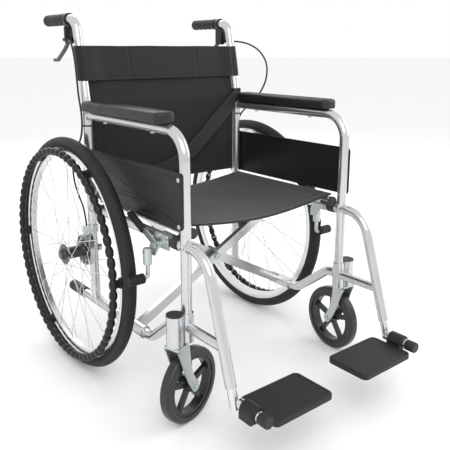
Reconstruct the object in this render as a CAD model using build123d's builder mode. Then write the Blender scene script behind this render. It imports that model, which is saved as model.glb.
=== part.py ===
"""Folding manual wheelchair: two welded tube side frames joined by a scissor cross-brace.

Millimetres. +Z is up, the floor is Z = 0, the chair faces -Y and its centre plane is X = 0.
The rear axle is over Y = 0. "right" and "left" are the rider's: right is -X, left is +X.
"""
from math import atan2, cos, degrees, hypot, pi, radians, sin, sqrt, tan
import os

from build123d import *

os.makedirs("parts", exist_ok=True)

# ---------------------------------------------------------------- driving dimensions
frame_half = 250.0  # centre plane to the plane of a side frame
tube_r = 12.0  # frame tube, outside radius
tube_wall = 2.0
fit_gap = 0.05  # radial clearance of a running or sliding fit
weld_gap = 0.05  # left between two tubes of one weldment
seat_gap = 0.3  # left under a piece that only rests on its neighbour

upright_lean_z = 690.0  # the rear upright starts to lean back here
handle_z = 903.0
handle_corner_y = 40.0
handle_end_y = 206.0
arm_z = 664.0  # centre line of the armrest tube
side_rail_z = 420.0
lower_rail_z = 155.0
post_y = -430.0  # front post
lower_rail_rear_y = 126.0
kick_start_y = -285.0  # the lower rail kicks up to the front post from here
kick_end_y = -392.0
kick_z = 238.0
hanger_corner_y = -502.0
hanger_end_y = -582.0
hanger_end_z = 160.0
arm_bend_r = 62.0
hanger_bend_r = 70.0

wheel_r = 305.0  # rear wheel, over the tyre
tyre_section_r = 17.0
wheel_offset = 59.0  # frame plane to the middle of the tyre
rim_depth = 19.0
rim_width = 24.0
handrim_offset = 91.0  # frame plane to the middle of the hand rim
handrim_section_r = 10.0
axle_r = 6.0
hub_flange_offset = 26.0
hub_flange_r = 27.0
spoke_r = 0.9
spokes_per_flange = 16

caster_r = 88.0
caster_width = 26.0
caster_trail = 45.0
right_caster_yaw = -75.0
left_caster_yaw = -5.0
barrel_low_z = 202.0
barrel_high_z = 272.0
barrel_r = 19.0
caster_offset = tube_r + barrel_r + 1  # frame plane to the swivel axis
sleeve_r = tube_r + 3
stem_r = 8.0

seat_rail_x = 225.0
seat_rail_z = 442.0
seat_rail_r = 11.0
seat_rail_front_y = -420.0
seat_rail_rear_y = -24.0
rail_set_off = 30.0  # seat rail centre above the line of its brace bar
brace_y = -207.0  # middle of the scissor
brace_bar = 24.0  # bar height, seen from the front
brace_thick = 14.0
brace_gap = 2.0
brace_wall = 2.0

grip_r = tube_r + 4
grip_start_y = 96.0
pad_width = 50.0
pad_shift = 6.0  # armrest pad, outboard of its tube
pad_thick = 26.0
pad_front_y = -378.0
pad_rear_y = -18.0
guard_thick = 3.0
guard_low_z = 457.0
guard_high_z = 580.0
guard_front_y = -440.0
guard_rear_y = 10.0

foot_tube_r = tube_r - tube_wall - fit_gap
spindle_in = 10.0  # spindle axis, inboard of the frame plane
spindle_z = 128.0
spindle_r = 8.0
plate_in = 198.0  # inboard edge of the footplate, from the frame plane
plate_rear_y = -572.0
plate_front_y = -686.0
plate_top_z = 122.0
plate_thick = 14.0
housing_rear_y = -614.0
housing_front_y = -652.0
housing_r = 18.0

cable_r = 2.5

upright_bend_r = 200.0
handle_bend_r = 38.0
lower_bend_r = 55.0
post_bend_r = 30.0
strut_r = 11.0
strut_y = -557.0  # the strut runs forward to here before it is coped to the hanger
screw_r = 2.5
screw_head_r = 5.0
screw_head = 2.5

rim_below_tread = 26.0
rim_r = wheel_r - rim_below_tread
handrim_r = rim_r - 8
rim_wall = 2.0
drum_offset = 18.0  # frame plane to the inner face of the brake drum
drum_width = 12.0
drum_r = 38.0
band_gap = 1.5
band_thick = 2.5
hub_barrel_r = 16.0
hub_cap_r = 13.0
hub_cap_offset = 97.0  # frame plane to the outer end of the hub
flange_thick = 3.0
spoke_cross = 67.5  # degrees round the rim that a spoke leans
spoke_step = 1.2  # half the distance in X between the two crossing sets
spoke_rim_offset = 4.8
tab_width = 20.0
tab_count = 6

fork_half = 21.0
fork_arm = 4.0
fork_boss_r = 12.0
crown_low_z = 197.0
crown_half = 15.0
caster_hub_r = 15.0
caster_rim_low_r = 62.0
caster_rim_r = 72.0
caster_bolt_r = 5.0
caster_spokes = 5

brace_end = 500.0  # along a brace bar, from its lower pivot to its cut end
brace_sleeve_r = tube_r + 3.5
brace_sleeve_rear_y = -175.0
brace_sleeve_front_y = -255.0
brace_bolt_r = 5.0
rail_wall = 2.0
saddle_ys = (-400.0, -60.0)
saddle_width = 20.0

sling_half = 238.0
sling_front_y = -405.0
sling_rear_y = -25.0
sling_thick = 5.0
sling_sag = 14.0
back_low_z = 465.0
band_low_z = 750.0
band_high_z = 836.0
back_thick = 5.0
belt_width = 40.0
belt_thick = 2.0

foot_tube_top_z = 300.0
foot_tube_end_z = 118.0
foot_boss_r = 12.0
foot_boss_rear_y = -598.0
foot_boss_front_y = -612.5
knob_rear_y = -660.0
knob_front_y = -686.0
knob_r = 13.0
plate_side_gap = 18.0  # spindle axis to the outboard edge of the plate
plate_corner_r = 14.0

lock_pivot_y = -355.0
lock_pivot_z = 410.0
lock_tip_y = -246.0
lock_tip_z = 460.0
lock_x_offset = tube_r + 15  # frame plane to the middle of the lock lever
lock_pin_r = 4.0
shoe_pivot_z = 386.0
shoe_z = 325.0
shoe_x_offset = tube_r + 16
shoe_half = 12.0
shoe_gap = 4.2  # shoe to tyre, with the lock off
shoe_tyre_y = -sqrt(wheel_r**2 - (wheel_r - shoe_z) ** 2)
shoe_rear_y = shoe_tyre_y - shoe_gap
shoe_front_y = shoe_rear_y - 2 * shoe_half
shoe_pivot_y = shoe_rear_y - shoe_half
shoe_out = 80.0  # frame plane to the outboard end of the shoe
shoe_in = 40.0

hand_pivot_y = 80.0
hand_pivot_z = 852.0
hand_pin_r = 3.0
hand_clamp_y = 84.0
hand_clamp_width = 16.0

# ---------------------------------------------------------------- writing the pieces
def save(part, name):
    """Labels one piece and writes it."""
    part.label = name
    export_step(part, f"parts/{name}.step")


def save_pair(part, name):
    """Writes the right-hand piece and its mirror image on the left."""
    save(part, f"right_{name}")
    save(mirror(part, about=Plane.YZ), f"left_{name}")


# ---------------------------------------------------------------- tubes and round bars
def route(points, bends):
    """Straight runs joined by tangent arcs, one radius for each corner."""
    with BuildLine() as path:
        if len(points) == 2:
            Line(*points)
        else:
            FilletPolyline(*points, radius=bends)
    return path.line


def bent_tube(points, bends, radius, wall):
    """A round tube along a route, hollow unless the wall is zero."""
    path = route(points, bends)
    with BuildPart() as tube:
        with BuildSketch(path ^ 0):
            Circle(radius)
            if wall:
                Circle(radius - wall, mode=Mode.SUBTRACT)
        sweep(path=path)
    return tube.part


def bar_x(start, end, y, z, radius, mode=Mode.ADD):
    """A round bar along X, for the part being built."""
    with Locations(Location(((start + end) / 2, y, z), (0, 90, 0))):
        Cylinder(radius, abs(end - start), mode=mode)


def bar_y(start, end, x, z, radius, mode=Mode.ADD):
    """A round bar along Y, for the part being built."""
    with Locations(Location((x, (start + end) / 2, z), (90, 0, 0))):
        Cylinder(radius, abs(end - start), mode=mode)


def bar_z(start, end, x, y, radius, mode=Mode.ADD):
    """A round bar along Z, for the part being built."""
    with Locations((x, y, (start + end) / 2)):
        Cylinder(radius, abs(end - start), mode=mode)


def block(low, high, mode=Mode.ADD):
    """A box between two corners, for the part being built."""
    centre = tuple((a + b) / 2 for a, b in zip(low, high))
    with Locations(centre):
        Box(*[abs(b - a) for a, b in zip(low, high)], mode=mode)


right_x = -frame_half
outer_x = right_x - tube_r  # outboard face of the frame tubes
guard_x = outer_x - seat_gap - guard_thick  # outboard face of the skirt guard
screw_hole_r = screw_r + fit_gap
cope_r = tube_r + weld_gap

# ---------------------------------------------------------------- side frame weldment
guard_screw_ys = (post_y, 0.0)
guard_screw_zs = (guard_low_z + 9, guard_high_z - 14)
pad_screw_ys = (pad_rear_y - 77, pad_front_y + 68)
post_foot_z = barrel_low_z + 3

upright_points = [
    (right_x, 0, lower_rail_z),
    (right_x, 0, upright_lean_z),
    (right_x, handle_corner_y, handle_z),
    (right_x, handle_end_y, handle_z),
]
upright_tube = bent_tube(upright_points, [upright_bend_r, handle_bend_r], tube_r, tube_wall)
with BuildPart() as rear_upright:
    add(upright_tube)
    # coped over the lower rail, and the axle goes straight through
    bar_y(-2 * tube_r, 2 * tube_r, right_x, lower_rail_z, cope_r, Mode.SUBTRACT)
    bar_x(right_x - 2 * tube_r, right_x + 2 * tube_r, 0, wheel_r, axle_r + fit_gap, Mode.SUBTRACT)
    for z in guard_screw_zs:
        bar_x(right_x, outer_x - 1, 0, z, screw_hole_r, Mode.SUBTRACT)
save_pair(rear_upright.part, "rear_upright")

arm_points = [(right_x, 0, arm_z), (right_x, post_y, arm_z), (right_x, post_y, post_foot_z)]
arm_stock = bent_tube(arm_points, [arm_bend_r], tube_r, tube_wall)
with BuildPart() as arm_tube:
    add(arm_stock)
    bar_z(arm_z - 3 * tube_r, arm_z + 3 * tube_r, right_x, 0, cope_r, Mode.SUBTRACT)
    for y in pad_screw_ys:
        bar_z(arm_z - 2 * tube_r, arm_z + 2 * tube_r, right_x, y, screw_hole_r, Mode.SUBTRACT)
    for z in guard_screw_zs:
        bar_x(right_x, outer_x - 1, post_y, z, screw_hole_r, Mode.SUBTRACT)
save_pair(arm_tube.part, "arm_tube")

hanger_points = [
    (right_x, post_y, side_rail_z),
    (right_x, hanger_corner_y, side_rail_z),
    (right_x, hanger_end_y, hanger_end_z),
]
hanger_stock = bent_tube(hanger_points, [hanger_bend_r], tube_r, tube_wall)
with BuildPart() as side_rail_and_hanger:
    bar_y(0, post_y, right_x, side_rail_z, tube_r)
    bar_y(0, post_y, right_x, side_rail_z, tube_r - tube_wall, Mode.SUBTRACT)
    add(hanger_stock)
    for y in (0, post_y):
        bar_z(side_rail_z - 3 * tube_r, side_rail_z + 3 * tube_r, right_x, y, cope_r, Mode.SUBTRACT)
save_pair(side_rail_and_hanger.part, "side_rail_and_hanger")

swivel_x = right_x - caster_offset
hanger_slope = (hanger_end_y - hanger_corner_y) / (side_rail_z - hanger_end_z)
hanger_tilt = degrees(atan2(-hanger_slope, 1))


def hanger_at(z):
    """The point of the hanger's centre line at a height."""
    return (right_x, hanger_corner_y + (side_rail_z - z) * hanger_slope, z)


lower_points = [
    (right_x, lower_rail_rear_y, lower_rail_z),
    (right_x, kick_start_y, lower_rail_z),
    (right_x, kick_end_y, kick_z),
    (right_x, post_y, kick_z),
]
lower_stock = bent_tube(lower_points, [lower_bend_r, post_bend_r], tube_r, tube_wall)
with BuildPart() as lower_frame:
    add(lower_stock)
    bar_z(barrel_low_z + 1, barrel_high_z - 1, right_x, post_y, sleeve_r)
    bar_z(barrel_low_z, barrel_high_z, swivel_x, post_y, barrel_r)
    bar_y(post_y, strut_y, right_x, kick_z, strut_r)
    # the front post stands in the sleeve, the stem turns in the barrel
    bar_z(barrel_low_z - 1, barrel_high_z + 1, right_x, post_y, cope_r, Mode.SUBTRACT)
    bar_z(barrel_low_z - 1, barrel_high_z + 1, swivel_x, post_y, stem_r + fit_gap, Mode.SUBTRACT)
    # the strut is coped to the hanger
    with Locations(Location(hanger_at(kick_z), (-hanger_tilt, 0, 0))):
        Cylinder(cope_r, 6 * tube_r, mode=Mode.SUBTRACT)
save_pair(lower_frame.part, "lower_frame")

# ---------------------------------------------------------------- grips, pads and guards
with BuildPart() as push_grip:
    bar_y(grip_start_y, handle_end_y + 6, right_x, handle_z, grip_r)
    bar_y(grip_start_y, handle_end_y + seat_gap, right_x, handle_z, cope_r, Mode.SUBTRACT)
save_pair(push_grip.part, "push_grip")

pad_x = right_x - pad_shift
pad_low_z = arm_z + tube_r + seat_gap
pad_length = pad_rear_y - pad_front_y
with BuildPart() as armrest_pad:
    with BuildSketch(Plane.XY.offset(pad_low_z)):
        with Locations((pad_x, (pad_front_y + pad_rear_y) / 2)):
            RectangleRounded(pad_width, pad_length, pad_width * 0.35)
    extrude(amount=pad_thick)
    fillet(armrest_pad.faces().sort_by(Axis.Z)[-1].edges(), radius=6)
    for y in pad_screw_ys:
        bar_z(pad_low_z, pad_low_z + 15, right_x, y, screw_hole_r, Mode.SUBTRACT)
save_pair(armrest_pad.part, "armrest_pad")

with BuildPart() as skirt_guard:
    block((guard_x, guard_front_y, guard_low_z), (guard_x + guard_thick, guard_rear_y, guard_high_z))
    fillet(skirt_guard.edges().filter_by(Axis.X), radius=10)
    for y in guard_screw_ys:
        for z in guard_screw_zs:
            bar_x(guard_x - 1, guard_x + guard_thick + 1, y, z, screw_hole_r, Mode.SUBTRACT)
save_pair(skirt_guard.part, "skirt_guard")

drum_x = right_x - drum_offset
with BuildPart() as frame_fasteners:
    for y in guard_screw_ys:
        for z in guard_screw_zs:
            bar_x(guard_x - weld_gap, guard_x - weld_gap - screw_head, y, z, screw_head_r)
            bar_x(guard_x - screw_head, right_x - tube_r / 2, y, z, screw_r)
    for y in pad_screw_ys:
        low_z = arm_z - tube_r - weld_gap
        bar_z(low_z - screw_head, low_z, right_x, y, screw_head_r)
        bar_z(low_z, pad_low_z + 14, right_x, y, screw_r)
    # axle bolt with its nut inboard and its spacer outboard of the upright
    bar_x(right_x + tube_r + 8, right_x - hub_cap_offset + 3, 0, wheel_r, axle_r)
    bar_x(right_x + tube_r + weld_gap, right_x + tube_r + 8, 0, wheel_r, axle_r + 4)
    bar_x(outer_x - seat_gap, drum_x + seat_gap, 0, wheel_r, axle_r + 3)
save_pair(frame_fasteners.part, "frame_fasteners")

rail_cap_start_y = 62.0
tie_z = 636.0
seat_x = -seat_rail_x
saddle_reach = hypot(right_x - seat_x, side_rail_z - seat_rail_z)
saddle_angle = degrees(atan2(seat_rail_z - side_rail_z, seat_x - right_x))
saddle_mid = ((right_x + seat_x) / 2, (side_rail_z + seat_rail_z) / 2)
with BuildPart() as frame_caps:
    bar_z(barrel_high_z + weld_gap, barrel_high_z + 3, swivel_x, post_y, barrel_r)
    # rubber tip over the rear end of the lower rail
    bar_y(rail_cap_start_y, lower_rail_rear_y + 14, right_x, lower_rail_z, sleeve_r)
    bar_y(rail_cap_start_y, lower_rail_rear_y + seat_gap, right_x, lower_rail_z, cope_r, Mode.SUBTRACT)
    # tie round the upright that holds the brake cable
    bar_z(tie_z - 2, tie_z + 2, right_x, 0, tube_r + 1.3)
    bar_z(tie_z - 3, tie_z + 3, right_x, 0, tube_r + 0.1, Mode.SUBTRACT)
    # the tie stops at the edge of the back fabric
    tie_gap_x = right_x + tube_r - 2
    block((tie_gap_x, -tube_r, tie_z - 3), (tie_gap_x + 6, tube_r, tie_z + 3), Mode.SUBTRACT)
    # saddles on the side rail that the seat rail drops into
    for y in saddle_ys:
        with BuildSketch(Plane.XZ.offset(-y - saddle_width / 2)):
            with Locations((right_x, side_rail_z)):
                Circle(tube_r + 3)
            with Locations((seat_x, seat_rail_z)):
                Circle(seat_rail_r + 3)
            with Locations(Location(saddle_mid, saddle_angle)):
                Rectangle(saddle_reach, 12)
            with Locations((right_x, side_rail_z)):
                Circle(cope_r, mode=Mode.SUBTRACT)
            with Locations((seat_x, seat_rail_z)):
                Circle(seat_rail_r + seat_gap, mode=Mode.SUBTRACT)
            with Locations((seat_x, seat_rail_z + seat_rail_r)):
                Rectangle(4 * seat_rail_r, 2 * seat_rail_r + 2, mode=Mode.SUBTRACT)
        extrude(amount=saddle_width)
save_pair(frame_caps.part, "frame_caps")

# ---------------------------------------------------------------- rear wheel
wheel_x = right_x - wheel_offset
wheel_plane = Plane(origin=(wheel_x, 0, wheel_r), x_dir=(1, 0, 0), z_dir=(0, -1, 0))
wheel_axis = Axis((wheel_x, 0, wheel_r), (1, 0, 0))
with BuildPart() as wheel_tyre:
    with BuildSketch(wheel_plane):
        with Locations((0, wheel_r - tyre_section_r)):
            Circle(tyre_section_r)
        with Locations((0, (rim_r + weld_gap) / 2)):
            Rectangle(4 * tyre_section_r, rim_r + weld_gap, mode=Mode.SUBTRACT)
    revolve(axis=wheel_axis)
save_pair(wheel_tyre.part, "wheel_tyre")

rim_low_r = rim_r - rim_depth
with BuildPart() as wheel_rim:
    with BuildSketch(wheel_plane):
        with Locations((0, rim_r - rim_depth / 2)):
            Rectangle(rim_width, rim_depth)
        with Locations((0, rim_r - (rim_depth - rim_wall) / 2)):
            Rectangle(rim_width - 2 * rim_wall, rim_depth - rim_wall, mode=Mode.SUBTRACT)
    revolve(axis=wheel_axis)
save_pair(wheel_rim.part, "wheel_rim")

drum_in = wheel_offset - drum_offset
drum_out = drum_in - drum_width
flange_in = hub_flange_offset + flange_thick / 2
flange_out = hub_flange_offset - flange_thick / 2
hub_end = wheel_offset - hub_cap_offset
bore_r = axle_r + fit_gap
hub_outline = [
    (drum_in, bore_r),
    (drum_in, drum_r),
    (drum_out, drum_r),
    (drum_out, hub_barrel_r),
    (flange_in, hub_barrel_r),
    (flange_in, hub_flange_r),
    (flange_out, hub_flange_r),
    (flange_out, hub_barrel_r),
    (-flange_out, hub_barrel_r),
    (-flange_out, hub_flange_r),
    (-flange_in, hub_flange_r),
    (-flange_in, hub_cap_r),
    (hub_end, hub_cap_r),
    (hub_end, 0),
    (hub_end + 2.5, 0),
    (hub_end + 2.5, bore_r),
]
with BuildPart() as wheel_hub:
    with BuildSketch(wheel_plane):
        with BuildLine():
            Polyline(*hub_outline, close=True)
        make_face()
    revolve(axis=wheel_axis)
save_pair(wheel_hub.part, "wheel_hub")


def wheel_point(offset, radius, angle):
    """A point of the rear wheel: along the axle, out from it and round it."""
    turn = radians(angle)
    return Vector(wheel_x + offset, radius * sin(turn), wheel_r + radius * cos(turn))


spoke_hub_r = hub_flange_r + spoke_r + seat_gap
spoke_rim_r = rim_low_r - seat_gap
spoke_places = []
for side in (-1, 1):
    for index in range(spokes_per_flange):
        lean = 1 if index % 2 else -1
        angle = index * 360 / spokes_per_flange + (side > 0) * 180 / spokes_per_flange
        shift = lean * spoke_step
        start = wheel_point(side * hub_flange_offset + shift, spoke_hub_r, angle)
        end = wheel_point(side * spoke_rim_offset + shift, spoke_rim_r, angle + lean * spoke_cross)
        spoke_places.append(Plane(origin=(start + end) / 2, z_dir=end - start).location)
spoke_length = (end - start).length
with BuildPart() as wheel_spokes:
    with Locations(*spoke_places):
        Cylinder(spoke_r, spoke_length)
save_pair(wheel_spokes.part, "wheel_spokes")

handrim_x = right_x - handrim_offset
tab_low_x = wheel_x - rim_width / 2 - weld_gap
tab_high_x = handrim_x + handrim_section_r * 0.6
tab_centre_r = rim_r - 10
tab_places = []
for index in range(tab_count):
    angle = (index + 0.5) * 360 / tab_count
    turn = radians(angle)
    centre = ((tab_low_x + tab_high_x) / 2, -tab_centre_r * sin(turn), wheel_r + tab_centre_r * cos(turn))
    tab_places.append(Location(centre, (angle, 0, 0)))
with BuildPart() as handrim:
    with Locations(Location((handrim_x, 0, wheel_r), (0, 90, 0))):
        Torus(handrim_r, handrim_section_r)
    with Locations(*tab_places):
        Box(tab_low_x - tab_high_x, tab_width, 12)
save_pair(handrim.part, "handrim")

# ---------------------------------------------------------------- casters
# drawn with the swivel axis on Z and the wheel trailing along +Y, then turned and moved
caster_places = {
    "right": Location((swivel_x, post_y, 0), (0, 0, right_caster_yaw)),
    "left": Location((-swivel_x, post_y, 0), (0, 0, left_caster_yaw)),
}


def save_casters(part, name):
    """Writes one caster piece on each side, at that side's swivel angle."""
    for side, place in caster_places.items():
        save(part.moved(place), f"{side}_{name}")


arm_outline = [
    (-crown_half, crown_low_z + fork_arm),
    (crown_half, crown_low_z + fork_arm),
    (caster_trail + fork_boss_r, caster_r),
    (caster_trail - fork_boss_r, caster_r),
]
with BuildPart() as caster_fork:
    block((-fork_half, -crown_half, crown_low_z), (fork_half, crown_half, crown_low_z + fork_arm))
    bar_z(crown_low_z, barrel_high_z - 10, 0, 0, stem_r)
    for x in (-fork_half, fork_half - fork_arm):
        with BuildSketch(Plane.YZ.offset(x)):
            with BuildLine():
                Polyline(*arm_outline, close=True)
            make_face()
            with Locations((caster_trail, caster_r)):
                Circle(fork_boss_r)
        extrude(amount=fork_arm)
    bar_x(-fork_half, fork_half, caster_trail, caster_r, caster_bolt_r + fit_gap, Mode.SUBTRACT)
    bolt_half = fork_half + weld_gap
    bar_x(-bolt_half, bolt_half, caster_trail, caster_r, caster_bolt_r)
    for side in (-1, 1):
        bar_x(side * bolt_half, side * (bolt_half + 4), caster_trail, caster_r, caster_bolt_r + 3)
save_casters(caster_fork.part, "caster_fork")

caster_hub_half = fork_half - fork_arm - 0.5
caster_spoke_places = []
for index in range(caster_spokes):
    angle = index * 360 / caster_spokes
    middle = (caster_hub_r + caster_rim_low_r) / 2
    y = caster_trail - middle * sin(radians(angle))
    z = caster_r + middle * cos(radians(angle))
    caster_spoke_places.append(Location((0, y, z), (angle, 0, 0)))
with BuildPart() as caster_wheel:
    bar_x(-11, 11, caster_trail, caster_r, caster_rim_r)
    bar_x(-11, 11, caster_trail, caster_r, caster_rim_low_r, Mode.SUBTRACT)
    bar_x(-caster_hub_half, caster_hub_half, caster_trail, caster_r, caster_hub_r)
    with Locations(*caster_spoke_places):
        Box(10, 12, caster_rim_low_r - caster_hub_r + 4)
    bar_x(-fork_half, fork_half, caster_trail, caster_r, caster_bolt_r + fit_gap, Mode.SUBTRACT)
save_casters(caster_wheel.part, "caster_wheel")

caster_half = caster_width / 2
with BuildPart() as caster_tyre:
    bar_x(-caster_half, caster_half, caster_trail, caster_r, caster_r)
    fillet(caster_tyre.edges().filter_by(GeomType.CIRCLE), radius=7)
    bar_x(-caster_half, caster_half, caster_trail, caster_r, caster_rim_r + weld_gap, Mode.SUBTRACT)
save_casters(caster_tyre.part, "caster_tyre")

# ---------------------------------------------------------------- scissor brace
brace_rise = seat_rail_z - lower_rail_z
brace_span = frame_half + seat_rail_x
brace_length = sqrt(brace_span**2 + brace_rise**2 - rail_set_off**2)  # pivot to below the rail
brace_angle = atan2(brace_rise, brace_span) - atan2(rail_set_off, brace_length)
scissor_z = lower_rail_z + frame_half * tan(brace_angle)


def brace_plane(y):
    """Drawn along the brace whose lower pivot is on the right: x along the bar, y up from it."""
    x_dir = (cos(brace_angle), 0, sin(brace_angle))
    return Plane(origin=(right_x, y, lower_rail_z), x_dir=x_dir, z_dir=(0, -1, 0))


def scissor_brace(rear_y):
    """One brace: sleeve on the right lower rail, bar, gusset and the seat rail on the left."""
    front_y = rear_y - brace_thick
    with BuildPart() as brace:
        with BuildSketch(brace_plane(rear_y)):
            with Locations((brace_end / 2, 0)):
                Rectangle(brace_end, brace_bar)
            with BuildLine():
                Polyline(*gusset_outline, close=True)
            make_face()
        extrude(amount=brace_thick)
        with BuildSketch(brace_plane(rear_y - brace_wall)):
            with Locations(((brace_end + brace_sleeve_r) / 2, 0)):
                Rectangle(brace_end - brace_sleeve_r, brace_bar - 2 * brace_wall)
        extrude(amount=brace_thick - 2 * brace_wall, mode=Mode.SUBTRACT)
        bar_y(brace_sleeve_front_y, brace_sleeve_rear_y, right_x, lower_rail_z, brace_sleeve_r)
        bar_y(seat_rail_front_y, seat_rail_rear_y, seat_rail_x, seat_rail_z, seat_rail_r)
        rail_bore_r = seat_rail_r - rail_wall
        bar_y(seat_rail_front_y, seat_rail_rear_y, seat_rail_x, seat_rail_z, rail_bore_r, Mode.SUBTRACT)
        sleeve_bore_r = tube_r + fit_gap
        bar_y(brace_sleeve_front_y, brace_sleeve_rear_y, right_x, lower_rail_z, sleeve_bore_r, Mode.SUBTRACT)
        bar_y(front_y, rear_y, 0, scissor_z, brace_bolt_r + fit_gap, Mode.SUBTRACT)
        # plastic caps in the ends of the seat rail
        for end_y, out in ((seat_rail_front_y, -1), (seat_rail_rear_y, 1)):
            bar_y(end_y + out * weld_gap, end_y + out * 4, seat_rail_x, seat_rail_z, seat_rail_r)
    return brace.part


gusset_outline = [
    (brace_end - 60, brace_bar / 2 - 2),
    (brace_end, brace_bar / 2 - 2),
    (brace_length + 2, rail_set_off - 6),
    (brace_length - 8, rail_set_off + 6),
]
front_brace_y = brace_y - brace_gap / 2
rear_brace_y = brace_y + brace_gap / 2 + brace_thick
save(scissor_brace(front_brace_y), "brace_a")
save(mirror(scissor_brace(rear_brace_y), about=Plane.YZ), "brace_b")

with BuildPart() as brace_pivot_bolt:
    bolt_front_y = front_brace_y - brace_thick - seat_gap
    bolt_rear_y = rear_brace_y + seat_gap
    bar_y(bolt_front_y, bolt_rear_y, 0, scissor_z, brace_bolt_r)
    bar_y(bolt_front_y - 4, bolt_front_y, 0, scissor_z, brace_bolt_r + 4)
    bar_y(bolt_rear_y, bolt_rear_y + 5, 0, scissor_z, brace_bolt_r + 4)
save(brace_pivot_bolt.part, "brace_pivot_bolt")

# ---------------------------------------------------------------- seat, back and belt
# the underside of the seat is an arc that clears both seat rails by the seat gap
sling_r = (sling_half**2 + sling_sag**2) / (2 * sling_sag)
sling_centre_z = seat_rail_z + sqrt((sling_r + seat_rail_r + seat_gap) ** 2 - seat_rail_x**2)


def sling_z(x, radius):
    """Height of the sagging seat at a distance from the centre plane."""
    return sling_centre_z - sqrt(radius**2 - x**2)


sling_top_r = sling_r - sling_thick
with BuildPart() as seat_sling:
    with BuildSketch(Plane.XZ.offset(-sling_rear_y)):
        with BuildLine():
            under = [(x, sling_z(x, sling_r)) for x in (-sling_half, 0, sling_half)]
            over = [(x, sling_z(x, sling_top_r)) for x in (-sling_half, 0, sling_half)]
            ThreePointArc(*under)
            ThreePointArc(*over)
            Line(under[0], over[0])
            Line(under[2], over[2])
        make_face()
    extrude(amount=sling_rear_y - sling_front_y)
save(seat_sling.part, "seat_sling")

back_half = frame_half - tube_r - seat_gap


def back_y(z):
    """Middle of the back fabric, which follows the lean of the uprights."""
    lean = handle_corner_y / (handle_z - upright_lean_z)
    return max(0, z - upright_lean_z) * lean


with BuildPart() as back_sling:
    for low_z, high_z in ((back_low_z, band_low_z - seat_gap), (band_low_z, band_high_z)):
        heights = [low_z, high_z]
        if low_z < upright_lean_z:
            heights.insert(1, upright_lean_z)
        front = [(back_y(z) - back_thick / 2, z) for z in heights]
        rear = [(back_y(z) + back_thick / 2, z) for z in reversed(heights)]
        with BuildSketch(Plane.YZ.offset(-back_half)):
            with BuildLine():
                Polyline(*front, *rear, close=True)
            make_face()
        extrude(amount=2 * back_half)
save(back_sling.part, "back_sling")

belt_rear_y = -(tube_r + seat_gap)
belt_middle = [(frame_half + 2, 695), (60, 524), (-40, 487), (2 - frame_half, 478)]
arm_clear_z = arm_z + tube_r + seat_gap
with BuildPart() as lap_belt:
    with BuildSketch(Plane.XZ.offset(-belt_rear_y)):
        with BuildLine():
            Polyline(*belt_middle)
        trace(line_width=belt_width)
        # clear of the armrest tube, which leaves the upright here
        with Locations((frame_half + tube_r, arm_clear_z - 100)):
            Rectangle(4 * tube_r + 2 * seat_gap, 200, mode=Mode.SUBTRACT)
    extrude(amount=belt_thick)
save(lap_belt.part, "lap_belt")

# ---------------------------------------------------------------- footrest
spindle_x = right_x + spindle_in
foot_stock = bent_tube([hanger_at(foot_tube_top_z), hanger_at(foot_tube_end_z)], [], foot_tube_r, tube_wall)
with BuildPart() as footrest_tube:
    add(foot_stock)
    bar_y(foot_boss_rear_y, foot_boss_front_y, spindle_x, spindle_z, foot_boss_r)
    spindle_bore_r = spindle_r + fit_gap
    spindle_end_y = foot_boss_rear_y - 5
    bore_end_y = foot_boss_front_y - 1
    bar_y(spindle_end_y + seat_gap, bore_end_y, spindle_x, spindle_z, spindle_bore_r, Mode.SUBTRACT)
save_pair(footrest_tube.part, "footrest_tube")

with BuildPart() as footplate_spindle:
    bar_y(spindle_end_y, knob_rear_y, spindle_x, spindle_z, spindle_r)
    bar_y(knob_rear_y, knob_front_y, spindle_x, spindle_z, knob_r)
save_pair(footplate_spindle.part, "footplate_spindle")

plate_out_x = spindle_x + plate_side_gap
plate_in_x = right_x + plate_in
plate_low_z = plate_top_z - plate_thick
with BuildPart() as footplate:
    with BuildSketch(Plane.XY.offset(plate_low_z)):
        with Locations(((plate_out_x + plate_in_x) / 2, (plate_rear_y + plate_front_y) / 2)):
            RectangleRounded(plate_in_x - plate_out_x, plate_rear_y - plate_front_y, plate_corner_r)
    extrude(amount=plate_thick)
    # housing that turns on the spindle
    bar_y(housing_rear_y, housing_front_y, spindle_x, spindle_z, housing_r)
    housing_low = (spindle_x, housing_front_y, plate_low_z)
    block(housing_low, (plate_out_x + 2, housing_rear_y, plate_top_z + 4))
    under_low = (spindle_x - 2 * housing_r, housing_front_y - 1, plate_low_z - housing_r)
    block(under_low, (plate_out_x, housing_rear_y + 1, plate_low_z - 2), Mode.SUBTRACT)
    bar_y(housing_rear_y + 1, housing_front_y - 1, spindle_x, spindle_z, spindle_bore_r, Mode.SUBTRACT)
save_pair(footplate.part, "footplate")

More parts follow.
